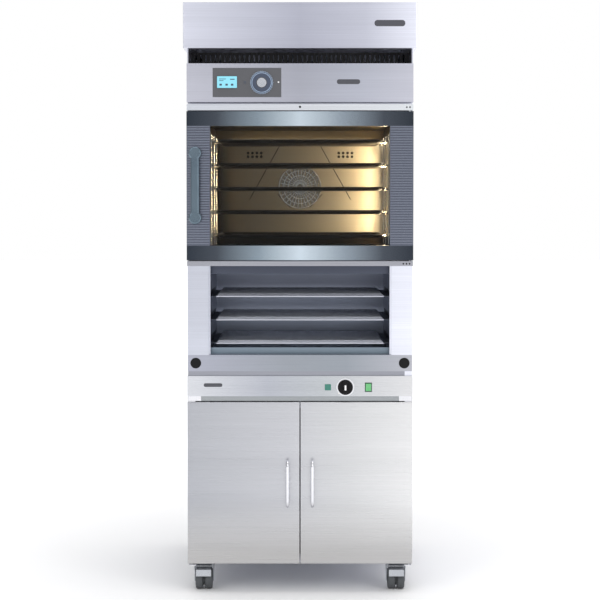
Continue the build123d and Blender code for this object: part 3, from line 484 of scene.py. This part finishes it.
# Rolled aluminium sheet: a soft pale sheen.
tray_metal = plain_finish("rolled_aluminium", "#c9c6c0", "#a5a29c", 0.34, 1.2, metallic=0.9, bump=0.10)
# Aluminium darkened by years of baking: brown-black with a dull sheen.
seasoned_pan = plain_finish("seasoned_pan_aluminium", "#3a332b", "#241f1a", 0.38, 1.2,
                            metallic=0.5, bump=0.10)
# Needled mineral wool: matt and rough.
wool = plain_finish("mineral_wool", "#b3a887", "#94895f", 0.95, 2.0, bump=0.6)
# Sprayed enamel: an even satin black on the motor; on the baffle's ribs the same black is painted shade.
motor_black_and_rib_shade = plain_finish("satin_black_motor_and_rib_shade", "#2c2f34", "#1f2226", 0.45, 1.0)
# Heated sheath: brown oxide over metal.
heater = plain_finish("oxidised_heater_sheath", "#5b4f49", "#39322f", 0.5, 1.0, metallic=0.9)
# Extruded silicone: matt near-black.
rubber = plain_finish("extruded_silicone", "#2b2b2d", "#1f1f21", 0.7, 0.8)
# Flexible vinyl over a magnet strip: matt mid grey.
gasket = plain_finish("grey_magnetic_gasket", "#8b8c8f", "#747579", 0.6, 0.8)
# Anodised and dyed aluminium: blue-grey with a soft narrow highlight.
handle_metal = plain_finish("blue_grey_anodised_aluminium", "#6f7e89", "#596874", 0.24, 0.7, metallic=0.9)
# Injection-moulded nylon: near-black with a faint fine grain.
black_plastic = plain_finish("moulded_black_nylon", "#101013", "#08080a", 0.42, 0.6, shine=0.2)
# Glass with a smoked print on its back: dark grey under a clear gloss.
panel_print = plain_finish("smoked_control_glass", "#4b4c51", "#434449", 0.16, 2.0, coat=1.0, bump=0.01)
# Painted metal ring: slate blue, satin.
dial_ring = plain_finish("satin_dial_ring", "#4a5366", "#3a4252", 0.35, 0.6, metallic=0.3)
# Spun aluminium: pale and bright.
dial_cap = plain_finish("spun_aluminium_cap", "#cfd2d8", "#b4b8c0", 0.26, 0.8, metallic=1.0)
# Moulded clear-green acrylic, unlit.
lamp_lens = plain_finish("green_lamp_lens", "#2f8070", "#226a5b", 0.18, 1.5, coat=0.4)
# Moulded nylon frame, dark green.
switch_body = plain_finish("dark_green_switch_frame", "#1c4a36", "#133626", 0.35, 0.8)
# Moulded translucent polycarbonate: light green with a gloss.
switch_cap = plain_finish("translucent_green_rocker", "#6fbf7c", "#4fa564", 0.22, 1.2, coat=0.4)
# Zinc plate on pressed steel: pale grey with a light crystal grain.
zinc = plain_finish("zinc_plated_steel", "#a9adb3", "#85898f", 0.36, 3.0, metallic=1.0, bump=0.15)
# Bright zinc plate: smoother and lighter.
pedal_steel = plain_finish("bright_zinc_pedal", "#d6d9de", "#b4b8bf", 0.28, 2.0, metallic=1.0)
# Moulded grey rubber tread: matt.
tyre_rubber = plain_finish("moulded_castor_tread", "#56595c", "#3f4245", 0.6, 0.7)
# Moulded nylon hub: mid grey.
hub_plastic = plain_finish("grey_castor_hub", "#5d6066", "#494c52", 0.45, 0.8)
# Pressed lamp glass with the lamp behind it lit.
lamp_glass = plain_finish("lit_lamp_lens", "#fff1d8", "#ffe9c4", 0.25, 3.0, glow=6.0)
# The door's inner pane, almost invisible from the front.
inner_pane = clear_pane("inner_door_pane", "#f6f7f7")
# Backlit display: a pale blue with very little glow of its own.
display_glow = plain_finish("lit_display", "#8ad2e3", "#7cc8da", 0.30, 2.0, glow=0.04)
# Screen-printed enamel, blue-grey and white.
scale_print = plain_finish("printed_scale", "#9db0c8", "#8ea2bc", 0.4, 1.0)
white_print = plain_finish("white_print", "#f4f4f4", "#e6e6e6", 0.4, 1.0)
# Stove enamel on a blank plate: dark grey with a clear coat.
plate_print = plain_finish("blank_plate_enamel", "#43444c", "#37383f", 0.35, 1.0, coat=0.4)


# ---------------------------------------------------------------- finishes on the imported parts
def paint(material, *names):
    """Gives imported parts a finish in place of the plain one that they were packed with."""
    for name in names:
        slots = nodes[name].data.materials
        slots.clear()
        slots.append(material)


glass_low, glass_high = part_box("oven_door_glass_inner")
edge = Vector((8 * MM, 0, 8 * MM))  # the inner pane reaches this far behind the printed border
window = (glass_low + edge, glass_high - edge)
printed_glass = door_glass("printed_door_glass", window)

corners = ("front_left", "front_right", "rear_left", "rear_right")
paint(casing_steel, "proofer_casing", "oven_casing", "rack_pillars")
paint(rack_steel, "rack_housing")
paint(plinth_steel, "rack_plinth")
paint(hood_steel, "hood_shell")
paint(head_steel, "oven_head")
paint(fascia_steel, "proofer_fascia")
paint(trim_steel, "oven_trims")
paint(duct_steel, "hood_intake")
paint(black_mesh_and_hole_shade, "hood_filter")
paint(door_steel, "proofer_door_left", "proofer_door_right")
paint(cavity_steel, "oven_liner", "fan_baffle")
paint(chamber_steel, "proofer_liner", "proofer_tray_racks", "humidifier")
paint(dark_steel, "rack_runners")
paint(polished, "proofer_handle_left", "proofer_handle_right", "hinge_brackets", "rear_connections")
paint(wire_chrome, "oven_wire_racks")
paint(tray_metal, "fan_wheel")
paint(wool, "insulation")
paint(motor_black_and_rib_shade, "fan_motor")
paint(heater, "heating_ring")
paint(rubber, "oven_door_seal")
paint(gasket, "proofer_seal_left", "proofer_seal_right")
paint(handle_metal, "oven_door_handle")
paint(black_plastic, "plinth_plugs", "thermostat_knob", "thermostat_body")
paint(panel_print, "control_glass")
paint(dial_ring, "program_dial")
paint(dial_cap, "dial_button")
paint(lamp_lens, "pilot_lamp")
paint(switch_body, "switch_frame")
paint(switch_cap, "switch_rocker")
paint(lamp_glass, "cavity_lamps")
paint(printed_glass, "oven_door_glass_outer")
paint(inner_pane, "oven_door_glass_inner")
paint(dark_steel, "oven_door_frame")
paint(zinc, "castor_plates", *[f"castor_fork_{c}" for c in corners])
paint(tyre_rubber, *[f"castor_wheels_{c}" for c in corners])
paint(pedal_steel, "castor_pedal_front_left", "castor_pedal_front_right")


# ---------------------------------------------------------------- pieces made here
def ring(name, centre, axis, inner, outer, thick):
    """A flat washer. Its section is a rectangle from the inner to the outer radius, and each corner goes
    round the axis as radius times cosine and radius times sine of the angle."""
    steps = 64
    angle = np.linspace(0, 2 * np.pi, steps, endpoint=False)
    section = np.array([(0, inner), (0, outer), (thick, outer), (thick, inner)])
    a, b = [i for i in range(3) if i != axis]
    points = np.zeros((4, steps, 3))
    points[..., axis] = section[:, :1]
    points[..., a] = section[:, 1:] * np.cos(angle)
    points[..., b] = section[:, 1:] * np.sin(angle)
    return grid_mesh(name, points + np.array(centre), wrap_u=True, wrap_v=True)


def spokes(name, centre, inner, outer, wide, thick, angles):
    """Straight bars in a plane square to Y. A bar's eight corners lie at the inner and outer radius and
    half its width to each side, turned by the bar's angle about the centre."""
    angles = np.radians(np.array(angles, float))[:, None]
    along = np.array([inner, inner, inner, inner, outer, outer, outer, outer])
    side = np.array([-1, 1, 1, -1, -1, 1, 1, -1]) * wide / 2
    deep = np.array([0, 0, 1, 1, 0, 0, 1, 1]) * thick + np.zeros_like(angles)
    x = along * np.cos(angles) - side * np.sin(angles)
    z = along * np.sin(angles) + side * np.cos(angles)
    points = np.stack([x, deep, z], -1).reshape(-1, 3) + np.array(centre)
    box = np.array([(0, 1, 2, 3), (7, 6, 5, 4), (0, 4, 5, 1), (1, 5, 6, 2), (2, 6, 7, 3), (3, 7, 4, 0)])
    faces = (box[None] + 8 * np.arange(len(angles))[:, None, None]).reshape(-1, 4)
    mesh = bpy.data.meshes.new(name)
    mesh.from_pydata(points.tolist(), [], faces.tolist())
    mesh.update()
    return mesh


def pan(name, low, high, lip_up, corner=22 * MM):
    """A pressed baking tray between two corners. Its section runs under the floor, up the sloping lip,
    round a rolled bead and back down to the floor: each point of it has an inset from the rim and a
    height, and gives one rounded rectangle. The bead is a circle about the lip's edge."""
    lip, sheet, bead = 12 * MM, 1.5 * MM, 2.1 * MM
    turn = np.radians(np.linspace(-50, 190, 11))
    section = [(lip, 0.0), (lip - 2 * sheet, 0.8 * sheet), (bead + 1.2 * sheet, lip - bead - 1.2 * sheet)]
    section += [(bead - bead * math.cos(t), lip - bead / 2 + bead * math.sin(t)) for t in turn]
    section += [(lip - 0.6 * sheet, 2.2 * sheet), (lip + sheet, 1.2 * sheet), (lip + 4 * sheet, sheet)]
    size, middle = high - low, (high + low) / 2
    points = []
    for inset, height in section:
        outline = rounded_outline(
            size.x - 2 * inset, size.y - 2 * inset, max(corner - inset, 1 * MM), steps=7)
        level = low.z + height if lip_up else high.z - height
        outline += np.array([middle.x, middle.y])
        points.append(np.column_stack([outline, np.full(len(outline), level)]))
    return grid_mesh(name, np.array(points), wrap_v=True, cap_u=True)


def trays():
    """The baking trays in the oven, one above the other at even steps, and the stored ones."""
    low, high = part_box("baking_trays")
    lip, levels = 12 * MM, 5
    step = (high.z - low.z - lip) / (levels - 1)
    pans = []
    for level in range(levels):
        z = low.z + level * step
        pans.append(pan(f"pan_{level}", Vector((low.x, low.y, z)), Vector((high.x, high.y, z + lip)), True))
    piece("pressed_baking_trays", joined("pressed_baking_trays", pans), seasoned_pan, "cabinet",
          stands_for=("baking_trays",))
    for number in (1, 2, 3):
        node = f"storage_tray_{number}"
        name = f"pressed_storage_tray_{number}"
        piece(name, pan(name, *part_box(node), False, 5 * MM), stored_metal, node + "_body",
              stands_for=(node,))


def castor_wheels():
    """Twin castor wheels: a crowned tread with rounded shoulders, and a stepped hub with a nut. Each is
    half a profile of (depth in mm, share of the wheel's radius), mirrored about the middle of its width
    and turned about the axle."""
    wide = 26 * MM
    for corner in corners:
        node = f"castor_wheels_{corner}"
        low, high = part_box(node)
        middle, radius = (low + high) / 2, (high.z - low.z) / 2
        starts = (low.x, high.x - wide)
        tread = [(2.5, 0.60), (0.6, 0.66), (0.0, 0.84), (0.8, 0.93), (3.0, 0.985), (8.0, 1.0)]
        tread = [(d * MM, r * radius) for d, r in tread]
        tread += [(wide - d, r) for d, r in reversed(tread)]
        hub = [(-0.6, 0.16), (0.6, 0.18), (0.8, 0.30), (2.0, 0.34), (2.0, 0.54), (1.0, 0.58), (1.0, 0.63)]
        hub = [(d * MM, r * radius) for d, r in hub]
        hub += [(wide - d, r) for d, r in reversed(hub)]
        for part, profile, material, slot in (
            ("tread", tread, tyre_rubber, "castor_tyre"), ("hub", hub, hub_plastic, "zinc_steel"),
        ):
            name = f"castor_{part}_{corner}"
            both = [turned(f"{name}_{x:.3f}", profile, (x, middle.y, middle.z), 0) for x in starts]
            if part == "tread":
                core = [(wide - 3 * MM, 0.66 * radius), (starts[1] - starts[0] + 3 * MM, 0.66 * radius)]
                both.append(turned(f"{name}_core", core, (starts[0], middle.y, middle.z), 0))
            piece(name, joined(name, both), material, f"wheels_{corner}",
                  stands_for=(node,) if part == "tread" else ())


def control_details():
    """What is printed on or lit behind the control glass, and the marks on the two dials."""
    low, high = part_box("control_glass")
    front, middle = low.y, (low.z + high.z) / 2
    left = low.x + 22 * MM
    face = (front - 0.5 * MM, front - 0.1 * MM)
    size = Vector((70 * MM, 0, 41 * MM))
    foot = middle - size.z / 2 + 1 * MM
    screen = slab("display", (left, face[0], foot), (left + size.x, face[1], foot + size.z), 1, 2 * MM)
    piece("display", screen, display_glow, "cabinet")
    bars = []
    # Each bar's left and foot, then its width and height, as shares of the display.
    marks = ((0.10, 0.74, 0.34, 0.05), (0.10, 0.60, 0.22, 0.05), (0.12, 0.20, 0.12, 0.16),
             (0.42, 0.20, 0.12, 0.16), (0.70, 0.20, 0.12, 0.16), (0.66, 0.70, 0.22, 0.08))
    for number, (x, z, w, h) in enumerate(marks):
        at = (left + x * size.x, face[0] - 0.2 * MM, foot + z * size.z)
        bars.append(slab(f"bar_{number}", at, (at[0] + w * size.x, face[0], at[2] + h * size.z), 1, 0.4 * MM))
    piece("display_marks", joined("display_marks", bars), dial_ring, "cabinet")
    dial_low, dial_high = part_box("program_dial")
    dial = (dial_low + dial_high) / 2
    radius = (dial_high.z - dial_low.z) / 2
    at = (dial.x, front - 0.4 * MM, dial.z)
    halo = [ring("halo", at, 1, radius + 0.8 * MM, radius + 2.2 * MM, 0.3 * MM),
            spokes("ticks", at, radius + 3.0 * MM, radius + 5.0 * MM, 0.9 * MM, 0.3 * MM, range(0, 360, 12))]
    piece("dial_scale", joined("dial_scale", halo), scale_print, "cabinet", smooth=False)
    rim = ring("dial_rim", (dial.x, dial_low.y - 0.3 * MM, dial.z), 1,
               radius - 4 * MM, radius - 2 * MM, 0.4 * MM)
    piece("dial_rim", rim, scale_print, "program_dial_body", smooth=False)
    spot = turned("light_spot", [(0, 2.6 * MM), (0.3 * MM, 2.8 * MM)],
                  (high.x - 16 * MM, front - 0.4 * MM, middle + 1 * MM), 1, steps=20)
    piece("light_spot", spot, white_print, "cabinet", smooth=False)
    icon = ring("dim_icon", (left + size.x + 28 * MM, front - 0.4 * MM, middle), 1,
                3 * MM, 4.4 * MM, 0.3 * MM)
    piece("dim_icon", icon, dial_ring, "cabinet", smooth=False)

    low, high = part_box("thermostat_knob")
    middle, radius = (low + high) / 2, (high.z - low.z) / 2
    pointer = slab("knob_pointer", (middle.x - 3 * MM, low.y - 0.5 * MM, middle.z - 9 * MM),
                   (middle.x + 3 * MM, low.y + 0.2 * MM, middle.z + 9 * MM), 1, 1.2 * MM)
    piece("knob_pointer", pointer, white_print, "thermostat_knob_body")
    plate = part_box("proofer_fascia")[0].y
    scale = ring("knob_scale", (middle.x, plate - 0.8 * MM, middle.z), 1,
                 radius + 1 * MM, radius + 5 * MM, 0.7 * MM)
    piece("knob_scale", scale, polished, "cabinet", smooth=False)


def plates():
    """Blank name plates on the hood, the head and the proofer's fascia, at the right or the left end."""
    for node, side, start, wide, tall, drop in (  # in mm: in from the end, width, height, down from the top
        ("hood_shell", 1, 41, 108, 22, 62),
        ("oven_head", 1, 188, 82, 17, 56),
        ("proofer_fascia", -1, 58, 66, 13, 26),
    ):
        low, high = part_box(node)
        edge_x = high.x - start * MM if side > 0 else low.x + (start + wide) * MM
        top = high.z - drop * MM
        name = f"blank_plate_{node}"
        mesh = slab(name, (edge_x - wide * MM, low.y - 0.9 * MM, top - tall * MM), (edge_x, low.y, top), 1,
                    tall * 0.45 * MM, edge=0.3 * MM)
        piece(name, mesh, plate_print, "cabinet")


def dome(name, x, y, z, radius):
    """A screw's low domed head: its height falls from the middle as the square of the distance."""
    reach = np.linspace(1, 0.05, 6)
    rise = 0.35 * radius
    return turned(name, [(-rise * (1 - r * r), r * radius) for r in reach], (x, y, z), 1, steps=20)


def fasteners():
    """Domed screw heads in the oven's trims: one for the lock, three below the hinge, two above it."""
    low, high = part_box("oven_trims")
    places = [(high.x - (12 + 11 * i) * MM, low.z + 8 * MM) for i in range(3)]
    places += [(high.x - (12 + 11 * i) * MM, high.z - 11 * MM) for i in range(2)]
    heads = [dome("lock_screw", 0, low.y, high.z - 10 * MM, 4 * MM)]
    heads += [dome(f"hinge_screw_{i}", x, low.y, z, 3 * MM) for i, (x, z) in enumerate(places)]
    piece("trim_screws", joined("trim_screws", heads), black_plastic, "cabinet")


def fan_guard():
    """A round wire guard on the baffle, dark bars along the pressed ribs beside it as painted shade, and two
    groups of dark discs as painted shade in the vent holes. A rib runs straight from one point to another,
    given in mm from the fan's middle, and is mirrored."""
    low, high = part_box("fan_baffle")
    middle = (low + high) / 2
    at = (middle.x, low.y - 3 * MM, middle.z)
    wires = [ring(f"guard_{r}", at, 1, r * MM, (r + 2.4) * MM, 2 * MM) for r in (26, 44, 62, 80)]
    wires.append(spokes("guard_spokes", at, 12 * MM, 82 * MM, 2.2 * MM, 2 * MM, range(0, 360, 12)))
    piece("fan_guard", joined("fan_guard", wires), wire_chrome, "cabinet", smooth=False)
    front = low.y - 1.5 * MM
    ribs = []
    for side in (-1, 1):
        for x, z, to_x, to_z in ((80, 158, 196, -48), (86, -27, 38, -77)):
            reach = math.hypot(to_x - x, to_z - z) * MM
            angle = math.degrees(math.atan2(to_z - z, side * (to_x - x)))
            start = (middle.x + side * x * MM, front, middle.z + z * MM)
            ribs.append(spokes(f"rib_{side}_{x}", start, 0, reach, 3 * MM, 1.4 * MM, (angle,)))
    # Painted shade: dark bars along the baffle's pressed ribs.
    piece("baffle_rib_shade", joined("baffle_rib_shade", ribs), motor_black_and_rib_shade, "cabinet",
          smooth=False)
    holes = []
    disc = [(0, 5.5 * MM), (0.3 * MM, 5.5 * MM)]
    for side in (-1, 1):
        for row in (0, 1):
            for column in range(4):
                out, up = (150 + 17 * column) * MM, (118 + 14 * row) * MM
                at = (middle.x + side * out, low.y - 0.4 * MM, middle.z + up)
                holes.append(turned(f"hole_{side}_{row}_{column}", disc, at, 1, steps=14))
    # Painted shade: dark discs where the vent holes are.
    piece("vent_hole_shade", joined("vent_hole_shade", holes), black_mesh_and_hole_shade, "cabinet",
          smooth=False)


trays()
castor_wheels()
control_details()
plates()
fasteners()
fan_guard()


# ---------------------------------------------------------------- studio
def area_light(name, place, target, size, power, colour="#ffffff"):
    """A soft rectangular light that faces a point."""
    lamp = bpy.data.lights.new(name, "AREA")
    lamp.shape = "RECTANGLE"
    lamp.size, lamp.size_y = size
    lamp.energy = power
    lamp.color = linear(colour)[:3]
    made = bpy.data.objects.new(name, lamp)
    bpy.context.scene.collection.objects.link(made)
    made.location = place
    made.rotation_euler = (Vector(target) - Vector(place)).to_track_quat("-Z", "Y").to_euler()
    return made


def studio():
    """A pale floor, a white room that is a little brighter to the right and open at both sides, and three
    large lights. Surfaces see the graded room, and the camera sees plain white behind the oven."""
    world = bpy.data.worlds.new("white_room")
    bpy.context.scene.world = world
    world.use_nodes = True
    tree = world.node_tree
    tree.nodes.clear()
    towards = add(tree, "ShaderNodeTexCoord").outputs["Generated"]
    axes = add(tree, "ShaderNodeSeparateXYZ", {0: towards})
    across = add(tree, "ShaderNodeMapRange", {
        "Value": axes.outputs["X"], "From Min": -0.7, "From Max": 0.7, "To Min": 0.70, "To Max": 1.06,
    })
    aside = add(tree, "ShaderNodeMath", {0: axes.outputs["X"]}, operation="ABSOLUTE")
    open_sides = add(tree, "ShaderNodeMapRange", {
        "Value": aside.outputs[0], "From Min": 0.70, "From Max": 0.96, "To Min": 1.0, "To Max": 0.50,
    })
    strength = add(tree, "ShaderNodeMath", {
        0: across.outputs[0], 1: open_sides.outputs[0],
    }, operation="MULTIPLY")
    room = add(tree, "ShaderNodeBackground", {"Color": linear("#fdfdfe"), "Strength": strength.outputs[0]})
    plain = add(tree, "ShaderNodeBackground", {"Color": linear("#ffffff"), "Strength": 1.0})
    seen = add(tree, "ShaderNodeLightPath").outputs["Is Camera Ray"]
    both = add(tree, "ShaderNodeMixShader", {0: seen, 1: room.outputs[0], 2: plain.outputs[0]})
    add(tree, "ShaderNodeOutputWorld", {"Surface": both.outputs[0]})
    floor_reach = 30.0  # metres, so that the floor's far edge lies on the horizon
    sides = np.linspace(-floor_reach, floor_reach, 9)
    x, y = np.meshgrid(sides, sides, indexing="ij")
    mesh = grid_mesh("floor", np.stack([x, y, np.zeros_like(x)], -1))
    made, tree, place = begin("pale_studio_floor")
    cloud = add(tree, "ShaderNodeTexNoise", {"Vector": place, "Scale": 0.7, "Detail": 2.0})
    tone = add(tree, "ShaderNodeMix", {
        0: cloud.outputs["Fac"], 6: linear("#fcfcfc"), 7: linear("#ffffff"),
    }, data_type="RGBA")
    body = add(tree, "ShaderNodeBsdfPrincipled", {"Base Color": tone.outputs[2], "Roughness": 0.7})
    # The floor glows a little away from the oven, so that it meets the white behind it without a line.
    reach_out = add(tree, "ShaderNodeVectorMath", {0: place}, operation="LENGTH")
    lift = add(tree, "ShaderNodeMapRange", {
        "Value": reach_out.outputs["Value"], "From Min": 0.45, "From Max": 3.0, "To Min": 0.0, "To Max": 0.35,
    })
    body.inputs["Emission Color"].default_value = linear("#ffffff")
    tree.links.new(lift.outputs[0], body.inputs["Emission Strength"])
    end(made, body.outputs[0])
    mesh.materials.append(made)
    floor = bpy.data.objects.new("floor", mesh)
    bpy.context.scene.collection.objects.link(floor)
    area_light("key", (-2.6, -4.2, 3.4), (0, 0, 1.1), (1.8, 2.4), 34)
    area_light("fill", (3.0, -3.6, 2.2), (0, 0, 1.1), (1.6, 2.6), 30)
    area_light("top", (0.0, -0.6, 4.6), (0, 0, 1.0), (2.4, 2.4), 40)


def cavity_lights():
    """The warm lamps in the oven: a tall soft source at the right wall, a weaker one at the left, and a
    flat one under the roof."""
    low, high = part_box("oven_liner")
    middle = (low + high) / 2
    front = low.y + 60 * MM
    for name, x, aim, power, tall in (
        ("lamp_right", high.x - 14 * MM, -1, 11.0, 0.40),
        ("lamp_left", low.x + 14 * MM, 1, 0.3, 0.30),
    ):
        area_light(name, (x, front + 120 * MM, middle.z), (x + aim, front + 130 * MM, middle.z),
                   (0.10, tall), power, "#ffe2b4")
    area_light("lamp_roof", (0, front + 90 * MM, high.z - 12 * MM), (0, front + 120 * MM, low.z),
               (0.50, 0.16), 4.5, "#fff0d6")


def camera():
    """A long lens at chest height, square to the front."""
    lens = bpy.data.cameras.new("camera")
    lens.lens = 92.8
    lens.sensor_width = 36
    lens.shift_y = -0.0727
    made = bpy.data.objects.new("camera", lens)
    bpy.context.scene.collection.objects.link(made)
    made.location = (0.0, -5.87, 1.40)
    made.rotation_euler = (math.radians(90 - 2.06), 0, 0)
    bpy.context.scene.camera = made
    bpy.context.scene.view_settings.view_transform = "Standard"


studio()
cavity_lights()
camera()
